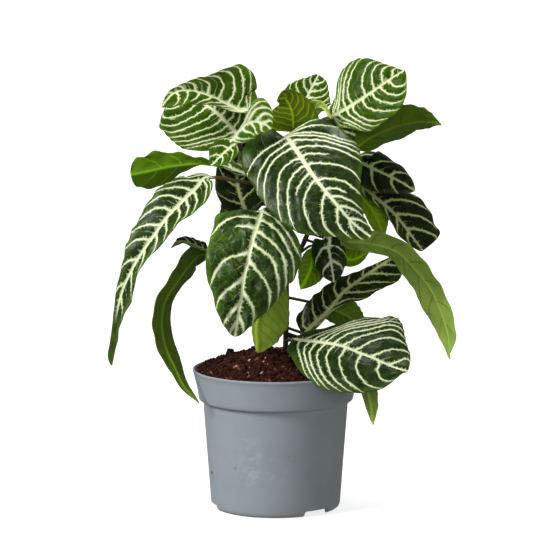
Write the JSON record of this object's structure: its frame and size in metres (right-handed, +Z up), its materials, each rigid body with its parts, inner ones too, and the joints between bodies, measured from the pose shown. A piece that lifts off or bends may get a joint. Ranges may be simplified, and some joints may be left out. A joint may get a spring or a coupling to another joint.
{
  "type": "potted zebra plant",
  "caption": "Bushy potted zebra plant: broad oval and long drooping leaves with pale veins on a forked stem, rooted in dark soil in a round nursery pot",
  "frame": {"origin": "Middle of the flat underside of the pot, on the floor", "axes": "+Z up along the pot's axis; the picture looks along +Y, so its left side is -X"},
  "size_m": [0.2491, 0.1495, 0.3248],
  "materials": {
    "pot": "matte blue-grey moulded plastic, lightly scuffed",
    "soil": "loose, dry, dark red-brown peat with pale bits",
    "stem": "dark brown bark, greener on the young shoots",
    "leaf": "glossy dark green leaf with cream veins, duller lime green beneath"
  },
  "bodies": {
    "root": {"pot": "pot", "soil": "soil", "stem": "stem", "leaf_front_top": "leaf", "leaf_front_low": "leaf", "leaf_left_drooping": "leaf", "leaf_left_folded": "leaf", "leaf_left_back": "leaf", "leaf_young_left": "leaf", "leaf_young_low": "leaf", "leaf_young_olive": "leaf", "leaf_young_pale": "leaf", "leaf_top_back": "leaf", "leaf_top_right": "leaf", "leaf_right_under": "leaf", "leaf_right_dark": "leaf", "leaf_right_low": "leaf", "leaf_right_arching": "leaf", "leaf_olive_hanging": "leaf", "leaf_lime_hanging": "leaf", "leaf_lime_right": "leaf", "leaf_small_dark": "leaf", "leaf_low_long": "leaf", "leaf_low_under": "leaf", "leaf_front_right": "leaf", "leaf_rim_tip": "leaf", "leaf_left_under": "leaf", "leaf_small_curled": "leaf", "leaf_left_upper": "leaf", "leaf_dark_behind": "leaf", "leaf_back_high": "leaf", "leaf_back_right": "leaf", "leaf_back_left": "leaf", "leaf_back_low": "leaf", "leaf_back_lowest": "leaf", "leaf_low_hanging": "leaf"}
  },
  "joints": []
}
